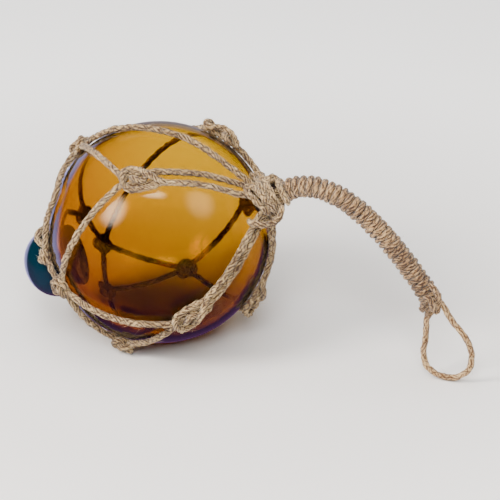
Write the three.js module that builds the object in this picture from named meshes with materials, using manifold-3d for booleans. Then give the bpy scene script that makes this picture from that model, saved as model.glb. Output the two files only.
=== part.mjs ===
// Decorative glass float: an amber glass ball in a knotted hemp net, lying on its side. The net's cords
// gather at a neck, go on as a stiff handle served with cord, and end in a hanging loop. At the opposite
// pole of the ball a dark gob of glass seals the blow hole.
// Millimetres, +Z up. The origin is the centre of the small flat that the ball rests on, and +X is the
// way that the handle points.
import * as THREE from 'three';
import { mergeVertices } from 'three/addons/utils/BufferGeometryUtils.js';
import Module from 'manifold-3d';

const wasm = await Module();
wasm.setup();

// Driving dimensions
const ballDiameter = 150;
const restFlatDiameter = 18;
const cordDiameter = 4.6;
const clearance = 0.3;      // between pieces that touch
const axisLift = 25;        // degrees that the line through both poles rises towards the handle
const sealDiameter = 48;
const sealHeight = 25;      // that the gob of glass stands out of the ball
const sealRound = 22;       // radius of its rounded edge
const sealCrown = 1;        // rise of its gently domed face
const sealOffset = 11;      // degrees that it sits off the net's own pole
const sealTurn = 72;        // and the turn about the axis that it is off to
const ringStandoff = 8.6;   // over the glass, from the seal's width to the ring of cord round the pole
const neckLength = 16.9;    // from the collar of cords on the glass to the start of the handle
const neckDiameter = 30;    // of the gathered cords at the collar
const handleDiameter = 15;
const handleLength = 139;
const wrapPitch = 4.6;      // from one turn of the handle's serving to the next
const wrapGroove = 1.1;     // depth of the groove between two turns
const wrapSlant = 9;        // degrees that a turn leans over
const handleRise = 29;      // degrees above the line through the poles, where it leaves the neck
const handleHang = -56;     // degrees above level that its far end tends to
const handleBend = 36;      // length over which most of the bend is made
const hitchTurns = 1.5;     // of heavier cord that bind the handle's far end
const hitchRise = 1;        // that they stand out of the other turns
const loopSpread = 8.4;     // between the loop's two ends where they leave the handle
const loopCordDiameter = 4.4;

// Fineness of the facets
const ballSegments = 38;
const cordSides = 6;
const cordStep = 14.5;
const knotRings = 5;
const knotSides = 9;
const sealSegments = 26;
const sealSeatRings = 4;
const sealEdgeRings = 4;
const sliver = 0.04;          // edges shorter than this are dropped where cords join
const handleSides = 10;
const handleStrides = 60;     // that its centre line is worked out in
const neckRings = 4;
const neckRibs = 8;
const loopSides = 8;
const loopSteps = 22;

const rad = THREE.MathUtils.degToRad;
const ballRadius = ballDiameter / 2;
const cordRadius = cordDiameter / 2;
const neckDistance = ballRadius + cordDiameter + neckLength;
const centreHeight = Math.sqrt(ballRadius ** 2 - (restFlatDiameter / 2) ** 2);
const ballCentre = new THREE.Vector3(0, 0, centreHeight);
const poleAxis = new THREE.Vector3(Math.cos(rad(axisLift)), 0, Math.sin(rad(axisLift)));
const poleUp = new THREE.Vector3(-Math.sin(rad(axisLift)), 0, Math.cos(rad(axisLift)));
const poleSide = new THREE.Vector3().crossVectors(poleAxis, poleUp);

// Solids and meshes
function solidOf(geometry) {
  const bare = geometry.clone();
  bare.deleteAttribute('normal');
  bare.deleteAttribute('uv');
  const merged = mergeVertices(bare, 1e-4);
  const mesh = new wasm.Mesh({
    numProp: 3,
    vertProperties: new Float32Array(merged.attributes.position.array),
    triVerts: new Uint32Array(merged.index.array),
  });
  return new wasm.Manifold(mesh);
}

function geometryOf(solid) {
  const { vertProperties, triVerts } = solid.getMesh();
  const geometry = new THREE.BufferGeometry();
  geometry.setAttribute('position', new THREE.BufferAttribute(new Float32Array(vertProperties), 3));
  geometry.setIndex(new THREE.BufferAttribute(new Uint32Array(triVerts), 1));
  geometry.computeVertexNormals();
  return geometry;
}

function joined(solids) {
  return solids.reduce((whole, solid) => whole.add(solid));
}

// The same body with its slivers smoothed away and the small hollows shut up inside its knots filled
function filled(solid) {
  const shells = solid.setTolerance(sliver).decompose();
  return joined(shells.filter((shell) => shell.volume() > 0));
}

// A closed body skinned over rings of points, with a flat cap at each end
function skinned(rings) {
  const count = rings[0].length;
  const points = rings.flat();
  const faces = [];
  for (let r = 0; r + 1 < rings.length; r++) {
    for (let i = 0; i < count; i++) {
      const a = r * count + i;
      const b = r * count + ((i + 1) % count);
      faces.push(a, b, b + count, a, b + count, a + count);
    }
  }
  const last = (rings.length - 1) * count;
  for (let i = 1; i + 1 < count; i++) {
    faces.push(0, i + 1, i, last, last + i, last + i + 1);
  }
  const geometry = new THREE.BufferGeometry();
  geometry.setAttribute('position', new THREE.BufferAttribute(
    new Float32Array(points.flatMap((p) => p.toArray())), 3));
  geometry.setIndex(faces);
  return geometry;
}

// A ring of points for skinned, square to a way that lies in the plane of the handle, or leaning to it
function ring(middle, way, lean, count, radiusAt) {
  const flat = new THREE.Vector3(0, 1, 0);
  const up = new THREE.Vector3().crossVectors(flat, way).normalize();
  const leaning = up.multiplyScalar(Math.cos(lean)).addScaledVector(way, Math.sin(lean));
  return Array.from({ length: count }, (_, k) => {
    const turn = (k / count) * 2 * Math.PI;
    return middle.clone().addScaledVector(leaning, radiusAt(k) * Math.cos(turn))
      .addScaledVector(flat, radiusAt(k) * Math.sin(turn));
  });
}

// A round tube of cord along points, an extruded regular polygon
function cordTube(points, radius, sides, step) {
  const path = new THREE.CatmullRomCurve3(points);
  const corners = Array.from({ length: sides }, (_, i) => {
    const turn = (i / sides) * 2 * Math.PI;
    return new THREE.Vector2(radius * Math.cos(turn), radius * Math.sin(turn));
  });
  return new THREE.ExtrudeGeometry(new THREE.Shape(corners), {
    steps: Math.max(3, Math.round(path.getLength() / step)),
    extrudePath: path,
    bevelEnabled: false,
  });
}

// Places on the ball, by the angle from the handle's pole and the turn about the axis from its top side
function direction(polar, turn) {
  return poleAxis.clone().multiplyScalar(Math.cos(rad(polar)))
    .addScaledVector(poleUp, Math.sin(rad(polar)) * Math.cos(rad(turn)))
    .addScaledVector(poleSide, Math.sin(rad(polar)) * Math.sin(rad(turn)));
}

// The seal's axis, and the polar angle of the ring of cord that holds it
const sealAxis = direction(180 - sealOffset, sealTurn);
const sealSeat = ballRadius + clearance;
const sealEdgeAngle = Math.asin(sealDiameter / 2 / sealSeat);
const sealRing = 180 - THREE.MathUtils.radToDeg(sealEdgeAngle + ringStandoff / ballRadius);

// Net: where cords part or meet, as [polar angle, turn] in degrees
const knots = {
  crownFront: [72, 44],
  lowerFront: [75, 129],
  underRight: [62, 181],
  backRight: [66, 255],
  crownBack: [56, 318],
  crownLeft: [113, 357],
  leftFront: [130, 90],
  underLeft: [117, 143],
  backLow: [110, 228],
  sealFront: [sealRing - 9.5, 67],
  sealTop: [sealRing, 312],
  sealBack: [sealRing, 259],
  sealUnder: [sealRing - 2, 190],
};

// The links between knots. Where a link bows, the angles of a place on its way stand between its ends.
// None passes under the flat that the ball rests on.
const links = [
  ['crownFront', 'crownLeft'],
  ['crownFront', 'leftFront'],
  ['lowerFront', 'leftFront'],
  ['lowerFront', 'underLeft'],
  ['leftFront', [128, 118], 'underLeft'],
  ['underRight', 'backLow'],
  ['backRight', 'backLow'],
  ['backLow', 'sealBack'],
  ['backLow', 'sealUnder'],
  ['sealUnder', 'underLeft'],
  ['sealUnder', 'sealBack'],
  ['sealBack', 'sealTop'],
  ['sealTop', [sealRing - 2, 2], 'sealFront'],
  ['sealFront', 'leftFront'],
  ['crownLeft', [119, 35], 'sealFront'],
  ['crownLeft', 'sealTop'],
  ['crownBack', 'sealBack'],
];

// The doubled cords from the neck to their knots, and the single one, with the places they pass and
// how far apart the two of a pair run, in cord diameters
const spokes = [
  { knot: 'crownFront', by: [[30, 41]], cords: 2, apart: 1.7 },
  { knot: 'lowerFront', by: [[34, 127]], cords: 2, apart: 1.15 },
  { knot: 'underRight', by: [[32, 200]], cords: 2, apart: 1.15 },
  { knot: 'backRight', by: [[32, 258]], cords: 2, apart: 1.15 },
  { knot: 'crownBack', by: [[26, 280], [41, 303]], cords: 2, apart: 1.25 },
  { knot: 'crownLeft', by: [[32, 8], [68, 5]], cords: 1, apart: 0 },
];
const neckPolar = 7;        // degrees off the axis where the spokes run into the neck
const liftOffPolar = 29;    // nearer the pole than this the cords leave the glass in a straight line
const pinchPolar = 14;      // nearer the pole than this the two cords of a pair draw together
const doubledKnot = { length: cordDiameter * 5.6, width: cordDiameter * 3.3, height: cordDiameter * 1.95 };
const singleKnot = { length: cordDiameter * 3.3, width: cordDiameter * 2.6, height: cordDiameter * 1.8 };
const knotLobes = 3;        // cords that show round a knot
const knotLobeDepth = 0.17; // of their swell, as a share of the knot's radius
const knotTwist = 1.9;      // radians that they turn from one ring to the next
const knotTaper = 0.8;      // how far a knot narrows to its ends, from 0 to 1
const cordHeight = clearance + cordRadius;

function ways(route) {
  return route.map((stop) => direction(...(typeof stop === 'string' ? knots[stop] : stop)));
}

// How far from the ball's centre a cord's centre line lies: over the glass, or over the seal's flank
function cordReach(way) {
  const roundMiddle = ballRadius + sealHeight - sealCrown - sealRound;
  const near = way.dot(sealAxis);
  const above = (sealDiameter / 2 + cordHeight) ** 2 - roundMiddle ** 2 * (1 - near ** 2);
  const overSeal = near > 0 && above > 0 ? roundMiddle * near + Math.sqrt(above) : 0;
  return Math.max(ballRadius + cordHeight, overSeal);
}

// Cord centre line over the ball along a route, stood off sideways by a distance for one of a pair
function overBall(route, sideways) {
  const curve = new THREE.CatmullRomCurve3(
    route.flatMap((way, i) => (i === 0 ? [way] : arc(route[i - 1], way).slice(1))));
  const count = Math.max(4, Math.round(curve.getLength() * ballRadius / cordStep));
  return Array.from({ length: count + 1 }, (_, i) => {
    const way = curve.getPointAt(i / count).normalize();
    const along = curve.getTangentAt(i / count);
    const across = new THREE.Vector3().crossVectors(way, along).normalize();
    const polar = way.angleTo(poleAxis);
    const free = Math.max(0, rad(liftOffPolar) - polar);
    const reach = cordReach(way) / Math.cos(free);
    const pinch = Math.min(1, polar / rad(pinchPolar));
    return ballCentre.clone().addScaledVector(way, reach)
      .addScaledVector(across, sideways * pinch);
  });
}

// Three steps of the great circle between two directions, so that a curve through them stays round
function arc(from, to) {
  const angle = from.angleTo(to);
  return [0, 1 / 3, 2 / 3, 1].map((t) => from.clone().multiplyScalar(Math.sin((1 - t) * angle))
    .addScaledVector(to, Math.sin(t * angle)).divideScalar(Math.sin(angle)));
}

// A knot: a lump of three turns wound about each other, lying on the ball with its long way along a heading
function woundKnot(way, heading, size) {
  const along = heading.clone().addScaledVector(way, -heading.dot(way)).normalize();
  const across = new THREE.Vector3().crossVectors(way, along);
  const lift = (size.height / 2) * (1 + knotLobeDepth) - cordRadius;
  const middle = ballCentre.clone().addScaledVector(way, cordReach(way) + lift);
  const rings = Array.from({ length: knotRings + 1 }, (_, i) => {
    const t = (2 * i) / knotRings - 1;
    const taper = Math.sqrt(1 - knotTaper * t * t);
    return Array.from({ length: knotSides }, (_, k) => {
      const turn = (k / knotSides) * 2 * Math.PI;
      const swell = 1 + knotLobeDepth * Math.cos(knotLobes * turn + knotTwist * i);
      const reach = taper * swell / 2;
      return middle.clone().addScaledVector(along, (size.length / 2) * t)
        .addScaledVector(across, size.width * reach * Math.cos(turn))
        .addScaledVector(way, size.height * reach * Math.sin(turn));
    });
  });
  return solidOf(skinned(rings));
}

// A doubled cord's knot ends where its two cords part, so its middle lies nearer the handle
function towardsHandle(way, distance) {
  const across = new THREE.Vector3().crossVectors(way, poleAxis).normalize();
  return way.clone().applyAxisAngle(across, distance / ballRadius);
}

// Pieces
function glassBall() {
  const start = Math.asin(restFlatDiameter / 2 / ballRadius);
  const rings = ballSegments / 2;
  const profile = [new THREE.Vector2(0, -centreHeight)];
  for (let i = 0; i <= rings; i++) {
    const turn = start + (i / rings) * (Math.PI - start);
    profile.push(new THREE.Vector2(ballRadius * Math.sin(turn), -ballRadius * Math.cos(turn)));
  }
  profile[profile.length - 1].x = 0;
  const ball = new THREE.LatheGeometry(profile, ballSegments);
  ball.rotateX(Math.PI / 2);
  ball.translate(0, 0, centreHeight);
  return ball;
}

// The seal, or with grown above 0 the room that the net leaves for it
function sealButton(grown) {
  const top = ballRadius + sealHeight + grown;
  const round = sealRound + grown;
  const seat = sealSeat - grown;
  const edgeAngle = Math.asin((sealDiameter / 2 + grown) / seat);
  const roundMiddle = new THREE.Vector2(sealDiameter / 2 - sealRound, top - sealCrown - round);
  const profile = [];
  for (let i = 0; i <= sealSeatRings; i++) {
    const turn = (i / sealSeatRings) * edgeAngle;
    profile.push(new THREE.Vector2(seat * Math.sin(turn), seat * Math.cos(turn)));
  }
  for (let i = 0; i <= sealEdgeRings; i++) {
    const turn = (i / sealEdgeRings) * (Math.PI / 2);
    const edge = new THREE.Vector2(Math.cos(turn), Math.sin(turn));
    profile.push(edge.multiplyScalar(round).add(roundMiddle));
  }
  profile.push(new THREE.Vector2(0, top));
  profile[0].x = 0;
  const seal = new THREE.LatheGeometry(profile, sealSegments);
  seal.applyQuaternion(new THREE.Quaternion().setFromUnitVectors(new THREE.Vector3(0, 1, 0), sealAxis));
  seal.translate(...ballCentre.toArray());
  return seal;
}

// Handle's centre line, by its slope: it leaves the neck steeply and bends over under its own weight
function handleLine() {
  const stride = handleLength / handleStrides;
  const startAngle = axisLift + handleRise;
  const points = [ballCentre.clone().addScaledVector(poleAxis, neckDistance)];
  for (let i = 0; i < handleStrides; i++) {
    const s = (i + 0.5) * stride;
    const slope = rad(handleHang + (startAngle - handleHang) * Math.exp(-s / handleBend));
    points.push(points[i].clone().add(new THREE.Vector3(Math.cos(slope), 0, Math.sin(slope))
      .multiplyScalar(stride)));
  }
  return new THREE.CatmullRomCurve3(points);
}

function ropeNet() {
  const solids = [];
  for (const link of links) {
    solids.push(cordTube(overBall(ways(link), 0), cordRadius, cordSides, cordStep));
  }
  for (const { knot, by, cords, apart } of spokes) {
    const turn = by[0][1];
    const route = ways([[neckPolar, turn], ...by, knot]);
    for (let i = 0; i < cords; i++) {
      const sideways = (i - (cords - 1) / 2) * apart * cordDiameter;
      solids.push(cordTube(overBall(route, sideways), cordRadius, cordSides, cordStep));
    }
  }
  const bodies = solids.map(solidOf);
  for (const [name, angles] of Object.entries(knots)) {
    const way = direction(...angles);
    const doubled = spokes.some((s) => s.knot === name && s.cords === 2);
    bodies.push(doubled
      ? woundKnot(towardsHandle(way, doubledKnot.length / 2), poleAxis, doubledKnot)
      : woundKnot(way, poleSide, singleKnot));
  }
  return filled(joined([...bodies, neck()]).subtract(solidOf(sealButton(clearance))));
}

// Neck: the gathered cords as a ribbed cone from the collar to the handle
function neck() {
  const line = handleLine();
  const endWay = line.getTangentAt(0);
  const end = line.getPointAt(0).addScaledVector(endWay, -clearance);
  const start = ballCentre.clone().addScaledVector(poleAxis, ballRadius + cordDiameter);
  const ribDepth = 0.14;
  const rings = Array.from({ length: neckRings + 1 }, (_, i) => {
    const t = i / neckRings;
    const way = poleAxis.clone().lerp(endWay, t).normalize();
    const radius = THREE.MathUtils.lerp(neckDiameter / 2, handleDiameter / 2, t);
    return ring(start.clone().lerp(end, t), way, 0, neckRibs * 2, (k) => radius * (k % 2 ? 1 : 1 - ribDepth));
  });
  return solidOf(skinned(rings));
}

function wrappedHandle() {
  const line = handleLine();
  const turns = Math.round(handleLength / wrapPitch);
  const count = turns * 2;
  const rings = Array.from({ length: count + 1 }, (_, i) => {
    const lean = i === 0 || i === count ? 0 : rad(-wrapSlant);
    const bound = i > count - 2 * hitchTurns && i < count ? hitchRise : 0;
    const radius = handleDiameter / 2 + bound - (i % 2 ? 0 : wrapGroove);
    return ring(line.getPointAt(i / count), line.getTangentAt(i / count), lean, handleSides, () => radius);
  });
  return skinned(rings);
}

// Loop's route: offsets along X and Z from the end of the handle, between its two ends
const loopRoute = [
  [-5.2, -10.5], [-5.4, -22.0], [-6.6, -34.0], [-6.4, -40.0], [-5.0, -44.6], [-1.6, -48.4], [4.0, -51.0],
  [11.5, -51.6], [19.0, -48.8], [24.4, -43.2], [26.2, -36.0], [25.4, -28.6], [22.4, -22.0], [17.6, -16.0],
  [12.4, -10.6],
];

function hangingLoop() {
  const line = handleLine();
  const end = line.getPointAt(1);
  const way = line.getTangentAt(1);
  const across = new THREE.Vector3().crossVectors(new THREE.Vector3(0, 1, 0), way).normalize();
  const leave = (side) => [clearance, clearance + loopCordDiameter / 2].map((d) => end.clone()
    .addScaledVector(across, side * loopSpread / 2).addScaledVector(way, d));
  const points = [
    ...leave(1),
    ...loopRoute.map(([x, z]) => end.clone().add(new THREE.Vector3(x, 0, z))),
    ...leave(-1).reverse(),
  ];
  const path = new THREE.CatmullRomCurve3(points);
  return cordTube(points, loopCordDiameter / 2, loopSides, path.getLength() / loopSteps);
}

// Finishes
const finishes = {
  amberGlass: { color: '#b4780c', roughness: 0.05, metalness: 0, transparent: true, opacity: 0.6 },
  darkGlass: { color: '#0f2f3f', roughness: 0.1, metalness: 0 },
  hemp: { color: '#b89f78', roughness: 0.9, metalness: 0 },
  servedHemp: { color: '#a98a68', roughness: 0.92, metalness: 0 },
};

const model = new THREE.Group();
function addPiece(name, geometry, finish) {
  const mesh = new THREE.Mesh(geometry, new THREE.MeshStandardMaterial(finishes[finish]));
  mesh.name = name;
  model.add(mesh);
}

addPiece('glass_ball', glassBall(), 'amberGlass');
addPiece('seal_button', sealButton(0), 'darkGlass');
addPiece('rope_net', geometryOf(ropeNet()), 'hemp');
addPiece('wrapped_handle', wrappedHandle(), 'servedHemp');
addPiece('hanging_loop', hangingLoop(), 'hemp');

export default model;
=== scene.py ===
# %% [markdown]
# # A glass float ball in its net
#
# The real thing is a blown ball of amber glass, closed with a dark gob of glass, in a net of laid hemp
# cord. The net's cords gather at a neck, run on as the core of a stiff handle, and end in a hanging loop.
# This lesson dresses the measured solids of that float: every piece below sits where its solid is.
#
# The solids come first, because every place in this file is worked out from them.

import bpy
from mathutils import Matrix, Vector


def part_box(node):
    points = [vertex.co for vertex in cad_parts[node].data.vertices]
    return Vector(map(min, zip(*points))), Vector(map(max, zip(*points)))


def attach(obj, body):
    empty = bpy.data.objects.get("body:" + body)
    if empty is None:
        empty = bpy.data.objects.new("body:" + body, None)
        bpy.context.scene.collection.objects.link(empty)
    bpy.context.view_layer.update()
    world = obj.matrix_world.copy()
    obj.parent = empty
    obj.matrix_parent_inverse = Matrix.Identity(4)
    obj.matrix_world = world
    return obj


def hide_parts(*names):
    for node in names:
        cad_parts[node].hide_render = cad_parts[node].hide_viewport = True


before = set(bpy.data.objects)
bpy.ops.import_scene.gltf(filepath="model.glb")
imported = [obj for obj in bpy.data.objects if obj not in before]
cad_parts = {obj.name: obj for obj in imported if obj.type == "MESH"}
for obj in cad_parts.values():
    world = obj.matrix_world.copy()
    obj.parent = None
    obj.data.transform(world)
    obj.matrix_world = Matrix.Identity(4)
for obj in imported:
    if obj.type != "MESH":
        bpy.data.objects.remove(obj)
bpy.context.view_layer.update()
print("solids:", sorted(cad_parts))

# %% Tools and the ball's own measures
import math

import bpy
import numpy as np
from mathutils import Vector

ball_low, ball_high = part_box("glass_ball")
ball_radius = (ball_high[1] - ball_low[1]) / 2
ball_centre = np.array([0.0, 0.0, ball_high[2] - ball_radius])
print(f"ball of {ball_radius * 2000:.1f} mm, centre {ball_centre[2] * 1000:.1f} mm above the floor")

# %% [markdown]
# ## The camera
#
# The camera is placed first, so that each piece can be compared with the photograph as it is made. The
# ball's outline in the photograph is nearly a true circle, so the lens is long. Its ellipses of cord say
# that the camera looks down by 25 degrees and stands 21 degrees round from the handle's side. Aiming
# beside the ball puts it left of the middle, as the photograph has it, with no lens shift.

# %% Camera at the photograph's angle
picture_width = 500  # pixels
ball_in_picture = (159.5, 232)  # pixels, the centre of its outline
ball_radius_in_picture = 111  # pixels
camera_azimuth, camera_elevation = math.radians(21), math.radians(25)
camera_distance = 1.6

pixel = ball_radius / ball_radius_in_picture
cam_right = np.array([math.cos(camera_azimuth), math.sin(camera_azimuth), 0.0])
cam_look = np.array([
    -math.sin(camera_azimuth) * math.cos(camera_elevation),
    math.cos(camera_azimuth) * math.cos(camera_elevation),
    -math.sin(camera_elevation),
])
cam_up = np.cross(cam_right, cam_look)
middle = picture_width / 2
aim = ball_centre + cam_right * (middle - ball_in_picture[0]) * pixel
aim = aim - cam_up * (middle - ball_in_picture[1]) * pixel

camera = bpy.data.objects.new("camera", bpy.data.cameras.new("camera"))
bpy.context.scene.collection.objects.link(camera)
camera.location = Vector(aim - cam_look * camera_distance)
camera.rotation_euler = Vector(cam_look).to_track_quat("-Z", "Y").to_euler()
camera.data.sensor_width = 36
camera.data.lens = camera.data.sensor_width * camera_distance / (picture_width * pixel)
bpy.context.scene.camera = camera
print(f"camera lens {camera.data.lens:.0f} mm")

# %% [markdown]
# ## Curves for cords
#
# A cord follows a smooth line through a few chosen points. Blender's own curves could carry it, but the
# twist of its strands has to be exact, so the lines are worked out here as rows of points at even steps.
# The curve is a Catmull-Rom spline of the centripetal kind, which never loops between close points.

# %% Smooth lines at even steps
def even_steps(points, step):
    """The same line with points at even distances of about step."""
    lengths = np.r_[0, np.cumsum(np.linalg.norm(np.diff(points, axis=0), axis=1))]
    count = max(2, round(lengths[-1] / step) + 1)
    places = np.linspace(0, lengths[-1], count)
    return np.stack([np.interp(places, lengths, points[:, i]) for i in range(3)], axis=1)


def smooth_line(points, step):
    """A centripetal Catmull-Rom curve through points, at even steps."""
    p = np.asarray(points, float)
    p = np.vstack([2 * p[0] - p[1], p, 2 * p[-1] - p[-2]])
    t = np.linspace(0, 1, 16, endpoint=False)[:, None]
    stretches = []
    for before, start, end, after in zip(p, p[1:], p[2:], p[3:]):
        d0, d1, d2 = (np.linalg.norm(b - a) ** 0.5 for a, b in ((before, start), (start, end), (end, after)))
        leave = ((start - before) / d0 - (end - before) / (d0 + d1) + (end - start) / d1) * d1
        arrive = ((end - start) / d1 - (after - start) / (d1 + d2) + (after - end) / d2) * d1
        stretches.append(
            (2 * t**3 - 3 * t**2 + 1) * start + (t**3 - 2 * t**2 + t) * leave
            + (3 * t**2 - 2 * t**3) * end + (t**3 - t**2) * arrive
        )
    return even_steps(np.vstack([*stretches, p[-2][None]]), step)


def line_length(points):
    return float(np.linalg.norm(np.diff(points, axis=0), axis=1).sum())


def unit(vector):
    vector = np.asarray(vector, float)
    return vector / np.linalg.norm(vector)


print("lines ready, test length", round(line_length(smooth_line([[0, 0, 0], [1, 0, 0], [2, 1, 0]], 0.1)), 3))

# %% [markdown]
# ## Laid cord
#
# Hemp cord is three strands laid round each other, each of two yarns. The section is a clover of three
# lobes, with a slight dip in each where its yarns part. It turns as it travels, so each column of faces
# follows one strand and each groove is a real groove. The other way would be three separate helices, at
# three times the faces and with no gain from a step away. A sweep needs a frame that doesn't spin by
# itself, so each ring's frame is the last one, turned as little as possible.

# %% A mesh that gathers many cords
def frames_along(line):
    """Two crossways directions at each point, with no spin of their own."""
    ways = np.gradient(line, axis=0)
    ways /= np.linalg.norm(ways, axis=1)[:, None]
    first = np.cross(ways[0], [0.3, 0.5, 0.8])
    across = np.empty_like(line)
    across[0] = unit(first)
    for i in range(1, len(line)):
        held = across[i - 1] - ways[i] * across[i - 1].dot(ways[i])
        across[i] = held / np.linalg.norm(held)
    return ways, across, np.cross(ways, across)


strand_count = 3
points_per_strand = 8
lobe_radius, lobe_distance, yarn_split = 0.58, 0.44, 0.10  # as shares of the cord's radius


def clover(depth):
    """Radius of the section at each of its points, with a groove at the first; depth is a share."""
    share = (np.arange(points_per_strand) / points_per_strand - 0.5) * 2 * math.pi / strand_count
    lobe = lobe_distance * np.cos(share) + np.sqrt(lobe_radius**2 - (lobe_distance * np.sin(share)) ** 2)
    lobe[points_per_strand // 2] -= yarn_split
    return 1 - np.tile(1 - lobe, strand_count) * depth


class Cordage:
    """Gathers laid cords, each along its own line, into one mesh."""

    def __init__(self, seed):
        self.random = np.random.default_rng(seed)
        self.points, self.faces, self.corners = [], [], []
        self.count = 0
        self.lines = []

    def wander(self, along, *waves):
        """A random swing along a cord, from waves given as (reach, length)."""
        return sum(reach * np.sin(2 * math.pi * (along / length + self.random.random()))
                   for reach, length in waves)

    def add(self, line, diameter, lay, thin_ends=0.0, depth=1.0):
        """lay is the length of a full turn of a strand; thin_ends narrows the last millimetres."""
        rings, sides = len(line), strand_count * points_per_strand
        _, across, up = frames_along(line)
        along = np.r_[0, np.cumsum(np.linalg.norm(np.diff(line, axis=0), axis=1))]
        twist = along / lay * 2 * math.pi + self.wander(along, (0.45, 0.023), (0.3, 0.011), (0.12, 0.0057))
        turn = (np.arange(sides) / sides * 2 * math.pi)[None] + twist[:, None] + self.random.uniform(0, 6)
        swell = np.stack([1 + self.wander(along, (0.07, 0.019), (0.05, 0.0083), (0.03, 0.0041))
                          for _ in range(strand_count)], axis=1)
        reach = diameter / 2 * clover(depth)[None] * np.repeat(swell, points_per_strand, axis=1)
        if thin_ends:
            near_end = np.minimum(along, along[-1] - along) / thin_ends
            reach = reach * np.clip(0.35 + 0.65 * np.sqrt(np.clip(near_end, 0, 1)), 0, 1)[:, None]
        ring_points = line[:, None] + reach[..., None] * (
            np.cos(turn)[..., None] * across[:, None] + np.sin(turn)[..., None] * up[:, None])
        self.lines.append((line, across, up, diameter / 2))

        start = self.count
        r, k = np.meshgrid(np.arange(rings - 1), np.arange(sides), indexing="ij")
        r, k = r.ravel(), k.ravel()
        nxt = (k + 1) % sides
        quads = np.stack([r * sides + k, r * sides + nxt, (r + 1) * sides + nxt, (r + 1) * sides + k], 1)
        places = np.stack([
            np.stack([along[r], k / sides], 1), np.stack([along[r], (k + 1) / sides], 1),
            np.stack([along[r + 1], (k + 1) / sides], 1), np.stack([along[r + 1], k / sides], 1)], 1)
        self.points += [ring_points.reshape(-1, 3), line[[0, -1]]]
        self.faces += (quads + start).tolist()
        self.corners.append(places.reshape(-1, 2))
        hub = start + rings * sides
        for end, ring_start in ((0, start), (1, start + (rings - 1) * sides)):
            for a in range(sides):
                b = (a + 1) % sides
                pair = (b, a) if end == 0 else (a, b)
                self.faces.append([ring_start + pair[0], ring_start + pair[1], hub + end])
                self.corners.append(np.tile([[along[-1] * end, a / sides]], (3, 1)))
        self.count = hub + 2

    def made(self, name, finish):
        return mesh_piece(name, np.vstack(self.points), self.faces, finish, np.vstack(self.corners))


def mesh_piece(name, points, faces, finish, corners=None, smooth=True):
    """An object of these points and faces, with the map named lay where corners are given."""
    mesh = bpy.data.meshes.new(name)
    mesh.from_pydata([tuple(p) for p in points], [], faces)
    if corners is not None:
        mesh.uv_layers.new(name="lay").data.foreach_set("uv", corners.astype(np.float32).ravel())
    if smooth:
        mesh.shade_smooth()
    mesh.materials.append(finish)
    piece = bpy.data.objects.new(name, mesh)
    bpy.context.scene.collection.objects.link(piece)
    print(f"{name}: {len(points)} points, {len(faces)} faces")
    return piece


def turned(profile, sides, axis, across, centre):
    """Points and faces of a profile turned about an axis, whose first and last points lie on it."""
    side = np.cross(axis, across)
    points, faces = [centre + axis * profile[0][1]], []
    for radius, height in profile[1:-1]:
        for k in range(sides):
            t = 2 * math.pi * k / sides
            points.append(centre + axis * height + radius * (across * math.cos(t) + side * math.sin(t)))
    points.append(centre + axis * profile[-1][1])
    last = len(points) - 1
    for k in range(sides):
        n = (k + 1) % sides
        faces.append([0, 1 + n, 1 + k])
        for r in range(len(profile) - 3):
            a, b = 1 + r * sides + k, 1 + r * sides + n
            faces.append([a, b, b + sides, a + sides])
        faces.append([last - sides + k, last - sides + n, last])
    return points, faces


print("clover section:", np.round(clover(1.0)[:points_per_strand], 2))

# %% [markdown]
# ## Shader arithmetic
#
# Finishes are easier to read as sums than as wires. One small class wraps a socket, and adding or
# multiplying two of them adds the Math node. Every other node comes from one function, which sets the
# node's own settings first and then its sockets.

# %% A socket with arithmetic, and one way to add a node
class Wire:
    """A socket in a material's nodes. Arithmetic on it adds Math nodes."""

    def __init__(self, tree, socket):
        self.tree, self.socket = tree, socket

    def math(self, operation, other=0.0):
        return add_node(self.tree, "Math", {"operation": operation}, {0: self, 1: other})

    def __add__(self, other):
        return self.math("ADD", other)

    __radd__ = __add__

    def __sub__(self, other):
        return self.math("SUBTRACT", other)

    def __rsub__(self, other):
        return self * -1.0 + other

    def __mul__(self, other):
        return self.math("MULTIPLY", other)

    __rmul__ = __mul__

    def __pow__(self, other):
        return self.math("POWER", other)


def add_node(tree, kind, settings, inputs, output=0):
    node = tree.nodes.new("ShaderNode" + kind)
    for name, value in settings.items():
        if name == "stops":
            for stop, (place, colour) in zip(stops_of(node, len(value)), value):
                stop.position, stop.color = place, (*colour, 1)
        else:
            setattr(node, name, value)
    for name, value in inputs.items():
        if isinstance(value, Wire):
            tree.links.new(value.socket, node.inputs[name])
        elif isinstance(value, tuple) and len(value) == 3 and node.inputs[name].type == "RGBA":
            node.inputs[name].default_value = (*value, 1)
        else:
            node.inputs[name].default_value = value
    return Wire(tree, node.outputs[output])


def stops_of(node, count):
    """A colour ramp's stops, made as many as count."""
    while len(node.color_ramp.elements) < count:
        node.color_ramp.elements.new(0.5)
    return node.color_ramp.elements


def mixed(tree, share, first, second):
    """Colour between first and second by share."""
    return add_node(tree, "Mix", {"data_type": "RGBA"}, {0: share, 6: first, 7: second}, output=2)


def new_finish(name):
    """A material with an empty tree and its Principled shader: (material, tree, shader node)."""
    material = bpy.data.materials.new(name)
    material.use_nodes = True
    tree = material.node_tree
    return material, tree, tree.nodes["Principled BSDF"]


def plug(tree, shader, **inputs):
    """Sets the shader's sockets by name, with spaces for underscores, to a value or a wire."""
    for name, value in inputs.items():
        socket = shader.inputs[name.replace("_", " ")]
        if isinstance(value, Wire):
            tree.links.new(value.socket, socket)
        else:
            socket.default_value = (*value, 1) if isinstance(value, tuple) and len(value) == 3 else value


print("shader arithmetic ready")

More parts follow.
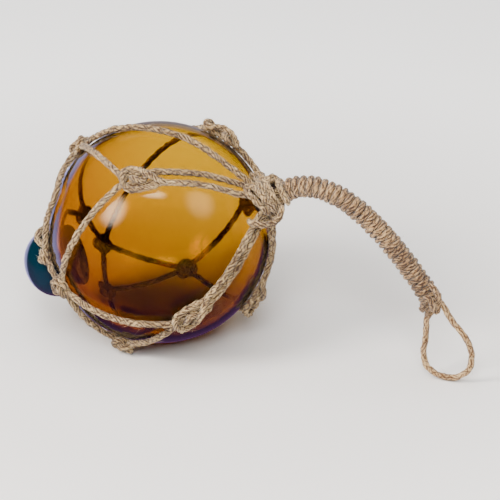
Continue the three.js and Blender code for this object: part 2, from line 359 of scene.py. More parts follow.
# %% [markdown]
# ## Hemp
#
# Dry hemp is pale straw where light catches a strand and brown in the grooves, with darker and greyer
# fibres running along each strand. The map of every cord counts metres along it and strands round it, so
# noise stretched along the first gives fibres, and the same count gives the grooves between strands and
# the finer split between a strand's two yarns. Grooves and splits are real geometry, and the colour is
# also darkened in them and along the turns of the yarns as painted shade, broken up by noise.

# %% Hemp in three shades
yarns_per_metre = 290  # turns of the two yarns in a strand, which run against the strands


def hemp(name, light, mid, dark, groove_shade_depth, yarn_shade_depth):
    material, tree, shader = new_finish(name)
    place = add_node(tree, "UVMap", {"uv_map": "lay"}, {})
    split = tree.nodes.new("ShaderNodeSeparateXYZ")
    tree.links.new(place.socket, split.inputs[0])
    along, round_cord = Wire(tree, split.outputs[0]), Wire(tree, split.outputs[1])
    space = add_node(tree, "TexCoord", {}, {}, output=3)

    fibre_place = add_node(tree, "CombineXYZ", {}, {0: along * 260, 1: round_cord * 42, 2: along * 31})
    fibres = add_node(tree, "TexNoise", {}, {"Vector": fibre_place, "Scale": 1.0, "Detail": 3.0,
                                             "Roughness": 0.65})
    patches = add_node(tree, "TexNoise", {}, {"Vector": space, "Scale": 70.0, "Detail": 2.0})
    specks = add_node(tree, "TexNoise", {}, {"Vector": space, "Scale": 900.0, "Detail": 1.0})
    breaks = add_node(tree, "TexNoise", {}, {"Vector": space, "Scale": 330.0, "Detail": 1.0})

    def line_at(phase, narrow):
        """1 along the lines where phase is a whole number, 0 between them."""
        return ((phase * (2 * math.pi)).math("COSINE") * 0.5 + 0.5) ** narrow

    strand = round_cord * strand_count
    groove = line_at(strand, 4)
    split_strand = line_at(strand - 0.5, 7)  # between the two yarns of a strand
    yarns = line_at(along * yarns_per_metre + strand, 5)
    here = add_node(tree, "MapRange", {}, {0: breaks, 1: 0.34, 2: 0.56})
    there = 1.0 - add_node(tree, "MapRange", {}, {0: breaks, 1: 0.42, 2: 0.58})
    # Painted shade: darker colour in the grooves, in each strand's split and along the yarns' turns, broken
    # up by noise.
    painted_groove_shade = (groove + split_strand * 0.8) * here * groove_shade_depth + yarns * there * yarn_shade_depth
    lightness = fibres * 1.5 + patches * 0.6 + specks * 0.6 - 0.82
    stops = [(0.16, dark), (0.42, mid), (0.74, light)]
    tone = add_node(tree, "ValToRGB", {"stops": stops}, {0: lightness - painted_groove_shade})
    height = fibres * 0.9 + specks * 0.4 - yarns * 0.5 - split_strand * 0.6
    bump = add_node(tree, "Bump", {}, {"Strength": 0.75, "Distance": 0.0007, "Height": height})
    plug(tree, shader, Base_Color=tone, Roughness=0.9, Normal=bump, Specular_IOR_Level=0.25,
         Sheen_Weight=0.25, Sheen_Roughness=0.6)
    return material


# The last two numbers of each hemp set the depth of its painted shade in the grooves and along the yarns.
hemp_cord = hemp("hemp_cord",
                 (0.60, 0.43, 0.215), (0.32, 0.205, 0.085), (0.045, 0.018, 0.006), 0.65, 0.5)
hemp_serving = hemp("hemp_serving",
                    (0.50, 0.33, 0.155), (0.24, 0.132, 0.053), (0.032, 0.012, 0.005), 0.6, 0.4)
loop_hemp = hemp("loop_hemp",
                 (0.70, 0.50, 0.26), (0.42, 0.26, 0.11), (0.09, 0.035, 0.011), 0.55, 0.45)
print("hemp:", [m.name for m in (hemp_cord, hemp_serving, loop_hemp)])

# %% [markdown]
# ## The handle's line and the hanging loop
#
# The loop is the only free cord of the float: it comes out of the handle's end, hangs, and goes back in.
# It is settled before the other pieces, because a free cord has a length of its own. The photograph shows
# it from end to end. The handle's line comes first, because the loop starts at its end: the handle leaves
# the neck steeply, and bends over under its own weight.

# %% The handle's centre line
axis_lift = math.radians(25)
pole_axis = np.array([math.cos(axis_lift), 0, math.sin(axis_lift)])
pole_up = np.array([-math.sin(axis_lift), 0, math.cos(axis_lift)])
pole_side = np.cross(pole_axis, pole_up)

cord_diameter = 0.0046
clearance = 0.0003
neck_length = 0.0169
neck_distance = ball_radius + cord_diameter + neck_length
handle_diameter = 0.015
handle_length = 0.139
handle_start, handle_hang = 54, -56  # degrees above level
handle_bend = 0.036
handle_strides = 60


def handle_line():
    stride = handle_length / handle_strides
    points = [ball_centre + pole_axis * neck_distance]
    for i in range(handle_strides):
        fade = math.exp(-(i + 0.5) * stride / handle_bend)
        slope = math.radians(handle_hang + (handle_start - handle_hang) * fade)
        points.append(points[-1] + np.array([math.cos(slope), 0, math.sin(slope)]) * stride)
    return np.array(points)


handle = handle_line()
handle_end = handle[-1]
handle_end_way = unit(handle[-1] - handle[-2])
flat = np.array([0.0, 1.0, 0.0])
print("handle ends at", np.round(handle_end * 1000, 1), "mm")

# %% The loop's line, as a free cord
loop_diameter = 0.0044
loop_spread = 0.0084
loop_step = 0.0008
loop_lay = 0.030
loop_route = [  # millimetres along X and Z from the handle's end
    (-5.2, -10.5), (-5.4, -22.0), (-6.6, -34.0), (-6.4, -40.0), (-5.0, -44.6), (-1.6, -48.4), (4.0, -51.0),
    (11.5, -51.6), (19.0, -48.8), (24.4, -43.2), (26.2, -36.0), (25.4, -28.6), (22.4, -22.0), (17.6, -16.0),
    (12.4, -10.6),
]


def loop_end(side):
    across = unit(np.cross(flat, handle_end_way))
    leave = handle_end + across * side * loop_spread / 2
    return [leave + handle_end_way * d for d in (clearance, clearance + loop_diameter / 2)]


loop_points = [*loop_end(1), *[handle_end + np.array([x, 0, z]) / 1000 for x, z in loop_route],
               *loop_end(-1)[::-1]]
loop_line = smooth_line(loop_points, loop_step)
loop_cord = Cordage(seed=5)
loop_cord.add(loop_line, loop_diameter, loop_lay, depth=0.75)
hanging_loop = loop_cord.made("loop", loop_hemp)
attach(hanging_loop, "root")
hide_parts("hanging_loop")
loop_lowest = loop_line[:, 2].min()
print(f"loop: {line_length(loop_line) * 1000:.1f} mm of cord, lowest point {loop_lowest * 1000:.1f} mm")

# %% [markdown]
# ## Places on the ball
#
# The net is thought of as a map of the ball. A place is an angle from the handle's pole and a turn round
# the axis from its top side, as latitude and longitude are. A cord's line runs over such places, half a
# cord above the glass. Near the pole the cords leave the glass and run straight to the neck.

# %% Directions, and cord lines over the ball
lift_off = math.radians(29)  # nearer the pole, cords run straight to the neck
ring_step = 0.0011
cord_lay = 0.022


def direction(polar, turn):
    """Unit vector for an angle from the handle's pole and a turn about the axis, in degrees."""
    polar, turn = math.radians(polar), math.radians(turn)
    around = pole_up * math.cos(turn) + pole_side * math.sin(turn)
    return pole_axis * math.cos(polar) + around * math.sin(polar)


def arc(start, end, steps):
    """Directions on the great circle between two directions."""
    angle = math.acos(np.clip(start.dot(end), -1, 1))
    shares = np.linspace(0, 1, steps + 1)[:, None]
    return (start * np.sin((1 - shares) * angle) + end * np.sin(shares * angle)) / math.sin(angle)


seal_radius, seal_height, seal_round, seal_crown = 0.024, 0.025, 0.022, 0.001
seal_offset, seal_turn = 11, 72  # degrees off the pole opposite the handle, and round the axis
seal_axis = direction(180 - seal_offset, seal_turn)
seal_edge_angle = math.asin(seal_radius / (ball_radius + clearance))
ring_standoff = 0.0086
seal_ring = 180 - math.degrees(seal_edge_angle + ring_standoff / ball_radius)
print(f"the ring round the seal is {seal_ring:.1f} degrees from the handle's pole")


def glass_reach(out, above):
    """Distance from the ball's centre, along each direction, to a height above the glass or the seal."""
    round_middle = ball_radius + seal_height - seal_crown - seal_round
    near = out @ seal_axis
    grown = (seal_radius + clearance + above) ** 2 - round_middle**2 * (1 - near**2)
    over_seal = np.where((near > 0) & (grown > 0), round_middle * near + np.sqrt(np.maximum(grown, 0)), 0)
    return np.maximum(ball_radius + clearance + above, over_seal)


def over_ball(ways, sideways=np.zeros_like):
    """Line over the glass through the directions in ways, stood off by sideways of the polar angle."""
    stops = [ways[0]]
    for start, end in zip(ways, ways[1:]):
        stops += list(arc(start, end, 3)[1:])
    line = smooth_line(np.array(stops) * ball_radius, ring_step)
    heading = np.gradient(line, axis=0)
    out = line / np.linalg.norm(line, axis=1)[:, None]
    side = np.cross(out, heading)
    side /= np.linalg.norm(side, axis=1)[:, None]
    polar = np.arccos(np.clip(out @ pole_axis, -1, 1))
    reach = glass_reach(out, cord_diameter / 2) / np.cos(np.clip(lift_off - polar, 0, None))
    return ball_centre + out * reach[:, None] + side * sideways(polar)[:, None]

# %% Where the net's cords meet, and what runs between
knots = {
    "crown_front": (72, 44), "lower_front": (75, 129), "under_right": (62, 181), "back_right": (66, 255),
    "crown_back": (56, 318), "crown_left": (113, 357), "left_front": (130, 90), "under_left": (117, 143),
    "back_low": (110, 228), "seal_front": (seal_ring - 9.5, 67), "seal_top": (seal_ring, 312),
    "seal_back": (seal_ring, 259), "seal_under": (seal_ring - 2, 190),
}
links = [
    ("crown_front", "crown_left"), ("crown_front", "left_front"), ("lower_front", "left_front"),
    ("lower_front", "under_left"), ("left_front", (128, 118), "under_left"), ("under_right", "back_low"),
    ("back_right", "back_low"), ("back_low", "seal_back"), ("back_low", "seal_under"),
    ("seal_under", "under_left"), ("seal_under", "seal_back"), ("seal_back", "seal_top"),
    ("seal_top", (seal_ring - 2, 2), "seal_front"), ("seal_front", "left_front"),
    ("crown_left", (119, 35), "seal_front"), ("crown_left", "seal_top"), ("crown_back", "seal_back"),
]
spokes = [  # knot, places on the way, number of cords, how far apart a pair runs in cord diameters
    ("crown_front", [(30, 41)], 2, 1.7), ("lower_front", [(34, 127)], 2, 1.15),
    ("under_right", [(32, 200)], 2, 1.15), ("back_right", [(32, 258)], 2, 1.15),
    ("crown_back", [(26, 280), (41, 303)], 2, 1.25), ("crown_left", [(32, 8), (68, 5)], 1, 0),
]


def ways_of(route):
    return [direction(*(knots[stop] if isinstance(stop, str) else stop)) for stop in route]


print(len(knots), "knots,", len(links), "links,", sum(s[2] for s in spokes), "cords to the neck")

# %% [markdown]
# ## The net's cords
#
# Each link and each spoke is a laid cord along its line. The spokes run on into the neck, where the
# serving of the handle holds them together, so their ends are hidden inside it.

# %% Links and spokes
pinch_polar = math.radians(14)
neck_polar = 7
neck_way = unit(handle[1] - handle[0])


def into_neck(start):
    """Points that bring a spoke from the pole's edge into the handle."""
    around = unit(start - ball_centre - pole_axis * (start - ball_centre).dot(pole_axis))
    mouth = handle[0]
    return [mouth + neck_way * 0.006 + around * 0.0018,
            mouth + around * 0.0036 + neck_way * 0.001,
            mouth - pole_axis * 0.007 + around * 0.0068]


net = Cordage(seed=11)
for route in links:
    net.add(over_ball(ways_of(route)), cord_diameter, cord_lay)
for knot, by, cords, apart in spokes:
    route = [direction(neck_polar, by[0][1]), *ways_of([*by, knot])]
    for i in range(cords):
        offset = (i - (cords - 1) / 2) * apart * cord_diameter
        line = over_ball(route, lambda polar: offset * np.clip(polar / pinch_polar, 0, 1))
        whole = smooth_line([*into_neck(line[0]), *line[::6], line[-1]], ring_step)
        net.add(whole, cord_diameter, cord_lay)
net_cords = net.made("net_cords", hemp_cord)
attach(net_cords, "root")
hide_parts("rope_net")

# %% [markdown]
# ## Knots
#
# Two kinds of knot hold the net. Where a pair of cords parts, one of them is hitched round the other in a
# turn that opens towards the handle. Where single cords meet, they are tied in a lump of an overhand
# knot, which is a trefoil: three arcs, each over one neighbour and under the other. Both are made of the
# same laid cord. They are given as places in the knot's own frame, in cord diameters: towards the handle,
# across, and above the glass.

# %% Knots of laid cord
knot_step = 0.0009
knot_lay = 0.0145


class KnotPlace:
    """A knot's own frame on the glass: towards a heading, across it, and above the glass."""

    def __init__(self, way, heading):
        self.way = way
        self.towards = unit(heading - way * heading.dot(way))
        self.across = np.cross(way, self.towards)

    def at(self, towards, across, above):
        out = unit(self.way * ball_radius + self.towards * towards + self.across * across)
        return ball_centre + out * glass_reach(out, above)

    def line(self, places, closed=False):
        stops = [self.at(*(np.array(p) * cord_diameter)) for p in places]
        if closed:
            stops = stops + stops[:2]
        return smooth_line(stops, knot_step)


hitch_turn = [(4.6, 1.1, 0.45), (3.2, 1.35, 0.6), (1.7, 1.55, 0.6), (0.6, 1.5, 0.75),
              (-0.05, 1.05, 1.15), (-0.25, 0.35, 1.45), (-0.25, -0.4, 1.45), (0.0, -1.1, 1.15),
              (0.7, -1.5, 0.8), (1.6, -1.3, 0.95), (2.5, -0.6, 1.45), (3.6, 0.1, 1.6),
              (4.8, 0.6, 1.15), (6.0, 0.85, 0.55)]
hitch_cross = [(0.6, -0.4, 0.7), (1.3, 0.25, 1.3), (2.2, 0.55, 1.25), (3.2, -0.3, 0.95),
               (4.2, -1.0, 0.75), (5.4, -1.0, 0.5)]
left_handed = ("crown_front", "back_right")
lump_size = {"seal_front": 0.72}  # of the full size, where it is drawn up tighter
lump_heading = (20, 37)  # degrees off the knot's own place, the second once more for each knot


def trefoil(stretch, count=24):
    """An overhand knot drawn up: places round a trefoil, in cord diameters."""
    turns = np.linspace(0, 2 * math.pi, count, endpoint=False)
    reach = 0.84 + 0.42 * np.cos(3 * turns)
    return [(r * math.cos(2 * t) * stretch, r * math.sin(2 * t), 1.02 + 0.5 * math.sin(3 * t))
            for r, t in zip(reach, turns)]


tied = Cordage(seed=23)
lump = np.array(trefoil(1.15))
doubled = {knot for knot, _, cords, _ in spokes if cords == 2}
for number, (name, (polar, turn)) in enumerate(knots.items()):
    way = direction(polar, turn)
    if name in doubled:
        spot = KnotPlace(way, pole_axis)
        hand = -1 if name in left_handed else 1
        for places in (hitch_turn, hitch_cross):
            stops = [(a, c * hand, h) for a, c, h in places]
            tied.add(spot.line(stops), cord_diameter, knot_lay, 0.004)
    else:
        spot = KnotPlace(way, direction(polar + lump_heading[0], turn + lump_heading[1] * number))
        places = lump * lump_size.get(name, 1.0)
        tied.add(spot.line(places, closed=True), cord_diameter, knot_lay)
net_knots = tied.made("net_knots", hemp_cord)
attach(net_knots, "root")

# %% [markdown]
# ## The neck's collar
#
# Where the cords gather, a broad bight and two more cords lie slantwise over them and draw them together,
# and a strap holds the lower pair. Their way over the near side is read off the photograph, as pixels of
# the picture and a distance from the ball's axis, which together give one place. Plain turns close the
# far side, and a near-black core fills the neck as painted shade, so that the gaps between the cords
# look deep.

# %% Collar turns on the far side
collar_turns = [(0.0820, 0.0142), (0.0862, 0.0130), (0.0902, 0.0112), (0.0940, 0.0094)]  # axial, radius
collar_lean = math.radians(20)
far_side = -0.45  # radians round the axis, where the turns pass out of the camera's sight
far_share = 0.58  # of a full turn, until they come back into it


def turn_round(middle, way, radius, lean):
    """Places of a leaning turn round a line, on its far side only."""
    up = unit(np.cross(flat, way))
    turns = np.linspace(far_side, far_side + 2 * math.pi * far_share, round(28 * far_share))
    along = -math.tan(lean) * radius * np.cos(turns)
    return [middle + way * a + radius * (up * math.cos(t) + flat * math.sin(t)) for a, t in zip(along, turns)]


collar = Cordage(seed=31)
for axial, radius in collar_turns:
    stops = turn_round(ball_centre + pole_axis * axial, pole_axis, radius, collar_lean)
    collar.add(smooth_line(stops, ring_step), cord_diameter, cord_lay, 0.004)

# %% Collar cords on the near side
eye = aim - cam_look * camera_distance


def ray_to(px, py):
    """From the camera through a pixel of the picture, as far as the ball's middle."""
    return cam_look * camera_distance + cam_right * (px - middle) * pixel + cam_up * (middle - py) * pixel


def on_neck(px, py, radius):
    """The place at a pixel, on the near side of a cylinder about the ball's axis."""
    start, ray = eye - ball_centre, ray_to(px, py)
    start, look = (v - pole_axis * v.dot(pole_axis) for v in (start, ray))
    half = -start.dot(look) / look.dot(look)
    root = half**2 - (start.dot(start) - radius**2) / look.dot(look)
    return eye + ray * (half - math.sqrt(max(root, 0)))


near_cords = {  # pixels across and down, and millimetres from the axis
    "bight": [(271, 216, 15), (263, 208, 17), (255, 200, 18.5), (248, 193, 18.5), (247, 187.5, 17.5),
              (253, 187, 17), (260, 194, 17.5), (267, 202, 17), (275, 212, 15.5)],
    "over": [(250, 173, 12.5), (255, 178, 13.5), (261.5, 188, 14.2), (268, 200, 14.2), (275, 211, 13.2),
             (281, 219, 12)],
    "beside": [(257, 171, 12), (262, 176, 12.6), (267.5, 186, 12.8), (273, 197, 12.4), (280, 210, 11)],
    "wrap": [(273, 175, 9.4), (277, 180, 9.8), (281.5, 190, 10), (286, 199, 9.6), (289, 205, 9)],
    "strap": [(248, 219.5, 21), (251, 222.5, 23.5), (257, 224.5, 24), (265, 225, 22.5), (272, 223.5, 20),
              (278, 219, 17), (281.5, 212, 14.5), (282, 205, 12)],
    "cut_end": [(266, 183, 13), (270, 178, 13.4), (273, 174, 13.8)],
}
for places in near_cords.values():
    stops = [on_neck(px, py, radius / 1000) for px, py, radius in places]
    collar.add(smooth_line(stops, knot_step), cord_diameter, cord_lay, 0.004)
neck_collar = collar.made("neck_collar", hemp_cord)
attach(neck_collar, "root")

# %% A near-black core in the neck, as painted shade
def shade_finish():
    material, tree, shader = new_finish("neck_shade")
    # Painted shade: near black and without shine, for the shade deep in the neck between the cords.
    plug(tree, shader, Base_Color=(0.022, 0.014, 0.012), Roughness=1.0, Specular_IOR_Level=0.0)
    return material


shade_core_profile = [  # radius, and distance from the ball's centre
    (0, 0.0795), (0.0095, 0.080), (0.0105, 0.084), (0.0095, 0.089), (0.007, 0.0955), (0, 0.0965),
]
shade_core_points, shade_core_faces = turned(shade_core_profile, 32, pole_axis, pole_up, ball_centre)
neck_shade_core = mesh_piece("neck_shade_core", shade_core_points, shade_core_faces, shade_finish())
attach(neck_shade_core, "root")

# %% [markdown]
# ## The served handle
#
# The handle is a bundle of cords with one cord wound round it, turn against turn. A single helix along
# the handle's line gives about thirty real turns, and a plain dark core behind them keeps the view from
# passing between two turns. At the far end the cord is hitched over the loop's root in two humps.

# %% Serving, core and the last hitch
wrap_pitch = 0.0046
wrap_slant = math.radians(9)
serving_step = 0.0011


def served_line():
    turns = round(handle_length / wrap_pitch)
    turns_at = np.linspace(0, turns * 2 * math.pi, turns * 30)
    along = turns_at / (turns * 2 * math.pi) * (handle_length - cord_diameter) + cord_diameter / 2
    grid = np.linspace(0, handle_length, len(handle))
    radius = handle_diameter / 2 - cord_diameter / 2
    places = []
    for s, t in zip(along, turns_at):
        s = s - math.tan(wrap_slant) * radius * math.cos(t)
        s = np.clip(s, 0, handle_length)
        middle = np.array([np.interp(s, grid, handle[:, i]) for i in range(3)])
        ahead = np.array([np.interp(min(s + 0.002, handle_length), grid, handle[:, i]) for i in range(3)])
        behind = np.array([np.interp(max(s - 0.002, 0), grid, handle[:, i]) for i in range(3)])
        way = unit(ahead - behind)
        up = unit(np.cross(flat, way))
        places.append(middle + radius * (up * math.cos(t) + flat * math.sin(t)))
    return even_steps(np.array(places), serving_step)


def beside_handle(px, py, across):
    """The place at a pixel, at a distance in millimetres from the handle's plane towards the camera."""
    ray = ray_to(px, py)
    return eye + ray * (-across / 1000 - eye[1]) / ray[1]


end_hitch = [(422.5, 312, 4.0), (422.5, 306, 6.5), (425, 300.5, 8.4), (428.5, 298.5, 9.2), (431.5, 303, 8.6),
             (433.5, 309.5, 7), (436.5, 311.5, 5.5), (438.5, 305, 5), (437.5, 296, 6), (433.5, 288, 7.4),
             (428, 284, 7.6)]
loop_root = [(427.6, 301, 6.0), (427.6, 307, 4.0), (427.2, 313, 1.5), (427.0, 318, 0.4)]
serving_lay = 0.030
serving = Cordage(seed=41)
serving.add(served_line(), cord_diameter, serving_lay, depth=0.6)
for places in (end_hitch, loop_root):
    line = smooth_line([beside_handle(*place) for place in places], knot_step)
    serving.add(line, cord_diameter, cord_lay, 0.004)
handle_serving = serving.made("handle_serving", hemp_serving)
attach(handle_serving, "root")
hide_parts("wrapped_handle")

core_radius = 0.0046
core = Cordage(seed=43)
core.add(even_steps(handle, 0.003), core_radius * 2, 0.06)
handle_core = core.made("handle_core", hemp_serving)
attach(handle_core, "root")

# %% [markdown]
# ## The glass
#
# The ball is hollow, with a wall of about 4 mm, and both its surfaces are modelled. Its colour is in the
# glass itself, so light loses more of its blue and green the further it travels in the wall. Blown glass
# sags before it sets, so the wall is thinner above than below: that makes the top of the ball bright gold
# and its lower side brown. At the ball's edge, where the light runs along inside the wall, it leaves the
# maroon rim that the photograph has. The values are plain, so the glass stays see-through.

# %% Amber glass
wall = 0.0044  # on average
sag = np.array([0.0011, 0.0, 0.0021])  # from the ball's middle to the hollow's, which lies higher
through_both_walls = np.array([0.46, 0.193, 0.000002])  # share of red, green and blue light


def amber_glass():
    material, tree, shader = new_finish("amber_glass")
    plug(tree, shader, Base_Color=(1.0, 1.0, 1.0), Roughness=0.0, IOR=1.5, Transmission_Weight=1.0)
    loss = -np.log(through_both_walls) / (2 * wall)  # per metre
    density = float(loss.max()) * 1.01
    colour = tuple(float(c) for c in 1 - loss / density)
    volume = add_node(tree, "VolumeAbsorption", {}, {"Color": colour, "Density": density})
    tree.links.new(volume.socket, tree.nodes["Material Output"].inputs["Volume"])
    print(f"absorption {density:.0f} per metre, colour", np.round(colour, 3))
    return material


# %% The hollow ball with its ground flat
glass_rings, glass_sides = 96, 160


def ball_surface(centre, radius, lowest):
    """Points of a sphere about a centre, flat at the height lowest."""
    start = math.acos((centre[2] - lowest) / radius)
    tilt = np.linspace(start, math.pi, glass_rings)[:-1, None]
    turn = (np.arange(glass_sides) / glass_sides * 2 * math.pi)[None]
    rim = np.stack([radius * np.sin(tilt) * np.cos(turn), radius * np.sin(tilt) * np.sin(turn),
                    -radius * np.cos(tilt) * np.ones_like(turn)], axis=-1).reshape(-1, 3)
    bottom = [[0, 0, -radius * math.cos(start)]]
    return np.vstack([rim, bottom, [[0, 0, radius]]]) + centre


def ball_faces(first, outward):
    rings = glass_rings - 1
    low, high = first + rings * glass_sides, first + rings * glass_sides + 1
    faces = []
    for k in range(glass_sides):
        n = (k + 1) % glass_sides
        faces.append([first + n, first + k, low])
        for r in range(rings - 1):
            a, b = first + r * glass_sides + k, first + r * glass_sides + n
            faces.append([a, b, b + glass_sides, a + glass_sides])
        top = first + (rings - 1) * glass_sides
        faces.append([top + k, top + n, high])
    return faces if outward else [face[::-1] for face in faces]


outer = ball_surface(ball_centre, ball_radius, 0.0)
hollow_centre, hollow_radius = ball_centre + sag, ball_radius - wall
hollow_flat = 0.9985  # of its radius below its middle
inner = ball_surface(hollow_centre, hollow_radius, hollow_centre[2] - hollow_flat * hollow_radius)
outer_faces, inner_faces = ball_faces(0, True), ball_faces(len(outer), False)
glass_ball = mesh_piece("float_glass", np.vstack([outer, inner]), outer_faces + inner_faces, amber_glass())
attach(glass_ball, "root")
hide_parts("glass_ball")

# %% [markdown]
# ## The seal
#
# A gob of dark blue-green glass closes the hole that the ball was blown through. It was pressed on while
# soft, so it is a tall rounded lump with a slightly domed face, and it sits some way off the net's pole. A
# profile turned about its own axis gives it. Only its edge beyond the ball shows in the photograph.

# %% The gob of dark glass
def dark_glass():
    material, tree, shader = new_finish("dark_glass")
    place = add_node(tree, "TexCoord", {}, {}, output=3)
    cloud = add_node(tree, "TexNoise", {}, {"Vector": place, "Scale": 60.0, "Detail": 3.0})
    tone = mixed(tree, cloud, (0.001, 0.006, 0.013), (0.002, 0.022, 0.036))
    bump = add_node(tree, "Bump", {}, {"Strength": 0.2, "Distance": 0.002, "Height": cloud})
    plug(tree, shader, Base_Color=tone, Roughness=0.12, IOR=1.52, Coat_Weight=0.6, Coat_Roughness=0.04,
         Normal=bump)
    return material


def seat_glass():
    """The gob's underside, fused to the ball: nothing mirrors there, so it is plainly dark."""
    material, tree, shader = new_finish("seat_glass")
    plug(tree, shader, Base_Color=(0.004, 0.004, 0.009), Roughness=1.0, Specular_IOR_Level=0.0)
    return material


seal_sides = 96


def seal_profile():
    """Radius and height along its own axis of the gob's outline, from its seat to its crown."""
    seat = ball_radius + clearance
    top = ball_radius + seal_height
    under = [(seat * math.sin(t), seat * math.cos(t)) for t in np.linspace(0, seal_edge_angle, 8)[1:]]
    rounded = [(seal_radius - seal_round + seal_round * math.cos(t),
                top - seal_crown - seal_round + seal_round * math.sin(t))
               for t in np.linspace(0, math.pi / 2, 14)]
    face = [((seal_radius - seal_round) * (1 - s), top - seal_crown * (1 - s) ** 2)
            for s in np.linspace(0, 1, 8)[1:-1]]
    return [(0, seat)] + under + rounded + face + [(0, top)]


seal_across = unit(np.cross(seal_axis, pole_side))
seal_points, seal_faces = turned(seal_profile(), seal_sides, seal_axis, seal_across, ball_centre)
seal = mesh_piece("seal", seal_points, seal_faces, dark_glass())
seal.data.materials.append(seat_glass())
seat_reach = ball_radius + clearance + 1e-5
for face in seal.data.polygons:
    if all(np.linalg.norm(seal_points[i] - ball_centre) < seat_reach for i in face.vertices):
        face.material_index = 1
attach(seal, "root")
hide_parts("seal_button")

# %% [markdown]
# ## Stray fibres
#
# Hemp is hairy. Each fibre is a thin bent needle that leaves the cord along its strands and lifts off.
# Particles would be quicker, but only real mesh is kept when the model is exported.

# %% Needles of hemp
def stray_fibres(name, cordages, per_metre, finish, seed):
    random = np.random.default_rng(seed)
    points, faces = [], []
    for line, across, up, radius in [item for cordage in cordages for item in cordage.lines]:
        ways = np.gradient(line, axis=0)
        ways /= np.linalg.norm(ways, axis=1)[:, None]
        for _ in range(random.poisson(line_length(line) * per_metre)):
            i = random.integers(1, len(line) - 1)
            turn = random.uniform(0, 2 * math.pi)
            out = across[i] * math.cos(turn) + up[i] * math.sin(turn)
            side = np.cross(ways[i], out)
            length = random.gamma(3.0, 0.0011)
            way = unit(ways[i] * random.choice([-1, 1]) + side * random.normal(0, 0.5)
                       + out * random.uniform(0.1, 0.8))
            bend = unit(random.normal(size=3)) * random.uniform(0, 0.7)
            thick = random.uniform(0.00004, 0.00008)
            spot = line[i] + out * radius * 0.85
            if spot[2] + min(0, way[2] + bend[2]) * length < 2 * thick:
                continue  # it would go through the floor
            base = len(points)
            for step in range(3):
                share = step / 3
                centre = spot + way * length * share + bend * length * share**2
                for k in range(3):
                    t = 2 * math.pi * k / 3
                    rim = out * math.cos(t) + side * math.sin(t)
                    points.append(centre + thick * (1 - 0.6 * share) * rim)
            points.append(spot + way * length + bend * length)
            for step in range(2):
                for k in range(3):
                    a, b = base + step * 3 + k, base + step * 3 + (k + 1) % 3
                    faces.append([a, b, b + 3, a + 3])
            for k in range(3):
                faces.append([base + 6 + k, base + 6 + (k + 1) % 3, base + 9])
            faces.append([base + 2, base + 1, base])
    return mesh_piece(name, points, faces, finish)


def fibre_finish():
    material, tree, shader = new_finish("fibre")
    place = add_node(tree, "TexCoord", {}, {}, output=3)
    cloud = add_node(tree, "TexNoise", {}, {"Vector": place, "Scale": 300.0, "Detail": 1.0})
    tone = mixed(tree, cloud, (0.38, 0.27, 0.15), (0.85, 0.74, 0.53))
    plug(tree, shader, Base_Color=tone, Roughness=0.8, Specular_IOR_Level=0.3)
    return material


fibres = stray_fibres("stray_fibres", [net, tied, collar, serving, loop_cord], 900, fibre_finish(), seed=71)
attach(fibres, "root")

# %% [markdown]
# ## Floor and light
#
# The photograph is lit softly from above on white. Glass shows what it mirrors, so the lights are of two
# kinds. Three large softboxes light the cords and the floor. They are kept out of the mirror image, and out
# of what shines through the glass, because its inner side mirrors them too. A few soft lamps are there only
# to be mirrored, each where its image is seen in the photograph. The floor is out of the mirror image as
# well, and glows faintly from a little way off, as a white sweep lit from below does, which lights the
# glass from behind. The sky is nearly dark, with a plum tone below for the dark side of the ball and a
# lilac glow behind on the left for the rim on that side.

# %% Studio
def lamp(name, place, size, power, colour=(1, 1, 1), soft=True):
    """An area lamp aimed at the ball. A soft one fades to its edge, and its size is its full width."""
    light = bpy.data.lights.new(name, "AREA")
    light.shape, light.size, light.size_y = "RECTANGLE", *size
    light.energy, light.color = power, colour
    if soft:
        light.use_nodes = True
        tree = light.node_tree
        where = add_node(tree, "NewGeometry", {}, {}, output=5)
        off = add_node(tree, "VectorMath", {"operation": "DISTANCE"}, {0: where, 1: (0.5, 0.5, 0)}, output=1)
        fade = add_node(tree, "MapRange", {"interpolation_type": "SMOOTHSTEP"}, {0: off, 1: 0.5, 2: 0.12})
        tree.links.new(fade.socket, tree.nodes["Emission"].inputs["Strength"])
    holder = bpy.data.objects.new(name, light)
    bpy.context.scene.collection.objects.link(holder)
    holder.location = Vector(place)
    holder.rotation_euler = (Vector(ball_centre) - holder.location).to_track_quat("-Z", "Y").to_euler()
    return holder


def seen_at(px, py, distance):
    """A place whose mirror image in the front of the ball is seen at a pixel of the picture."""
    a = (px - ball_in_picture[0]) / ball_radius_in_picture
    b = -(py - ball_in_picture[1]) / ball_radius_in_picture
    c = math.sqrt(1 - a * a - b * b)
    normal = cam_right * a + cam_up * b - cam_look * c
    mirror = 2 * normal.dot(-cam_look) * normal + cam_look
    return ball_centre + mirror * distance


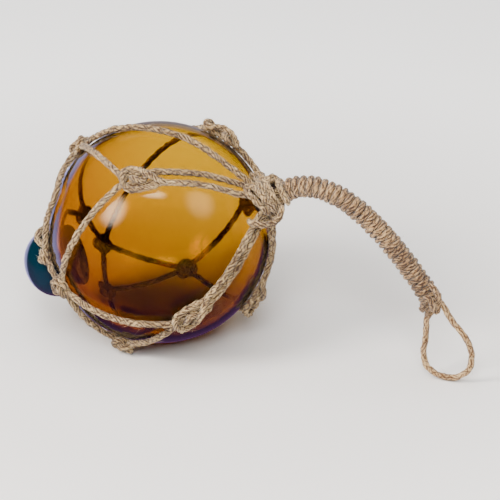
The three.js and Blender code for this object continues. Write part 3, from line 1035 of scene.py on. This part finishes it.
above_camera = np.array([-cam_look[0], -cam_look[1], 0.8]) * 1.6
overhead = lamp("overhead_softbox", (0.0, 0.0, 1.7), (1.4, 1.4), 22, soft=False)
front = lamp("front_softbox", above_camera, (0.8, 0.8), 36, soft=False)
key = lamp("key_softbox", seen_at(119, 208, 1.7), (0.6, 0.6), 24, soft=False)
for holder in (overhead, front, key):
    holder.visible_glossy = holder.visible_transmission = False
lamp("left_highlight", seen_at(117, 212, 1.2), (0.75, 0.8), 30, (1.0, 0.8, 0.62))
lamp("middle_highlight", seen_at(154, 196, 1.3), (0.8, 0.28), 10, (1.0, 0.85, 0.7))
lamp("right_highlight", seen_at(200, 204, 1.3), (0.95, 0.95), 12, (1.0, 0.78, 0.55))
lamp("top_highlight", seen_at(172, 136, 1.4), (1.8, 0.5), 3, (1.0, 0.9, 0.6))

floor_finish, floor_tree, floor_shader = new_finish("floor")
floor_place = add_node(floor_tree, "NewGeometry", {}, {})
from_ball = add_node(floor_tree, "VectorMath", {"operation": "LENGTH"}, {0: floor_place}, output=1)
eased = {"interpolation_type": "SMOOTHSTEP"}
lit_from_under = add_node(floor_tree, "MapRange", eased, {0: from_ball, 1: 0.15, 2: 0.55})
floor_glow = mixed(floor_tree, lit_from_under, (0, 0, 0), (1, 1, 1))
plug(floor_tree, floor_shader, Base_Color=(0.9, 0.9, 0.9), Roughness=0.9, Emission_Color=floor_glow,
     Emission_Strength=0.9)
floor_size = 8.0
corner = floor_size / 2
floor_corners = [(-corner, -corner, 0), (corner, -corner, 0), (corner, corner, 0), (-corner, corner, 0)]
floor = mesh_piece("floor", floor_corners, [[0, 1, 2, 3]], floor_finish, smooth=False)
floor.visible_glossy = False

world = bpy.data.worlds.new("studio")
bpy.context.scene.world = world
world.use_nodes = True
sky = world.node_tree
view = add_node(sky, "TexCoord", {}, {})
downward = add_node(sky, "VectorMath", {"operation": "DOT_PRODUCT"}, {0: view, 1: (0, 0, -1)}, output=1)
below = add_node(sky, "MapRange", eased, {0: downward, 1: 0.0, 2: 0.35})
tone = mixed(sky, below, (0.02, 0.02, 0.025), (0.15, 0.055, 0.18))
sky_glows = [  # the pixel of its image, where it begins and is full as cosines, and its colour
    ((54.0, 216), 0.89, 0.95, (1.1, 1.0, 1.9)),
    ((150, 124), 0.93, 0.98, (0.6, 0.5, 0.52)),
]
for (px, py), outer_edge, inner_edge, colour in sky_glows:
    towards = tuple(unit(seen_at(px, py, 1.0) - ball_centre))
    facing = add_node(sky, "VectorMath", {"operation": "DOT_PRODUCT"}, {0: view, 1: towards}, output=1)
    glow = add_node(sky, "MapRange", eased, {0: facing, 1: outer_edge, 2: inner_edge})
    tone = mixed(sky, glow, tone, colour)
sky.links.new(tone.socket, sky.nodes["Background"].inputs["Color"])
print("studio ready")
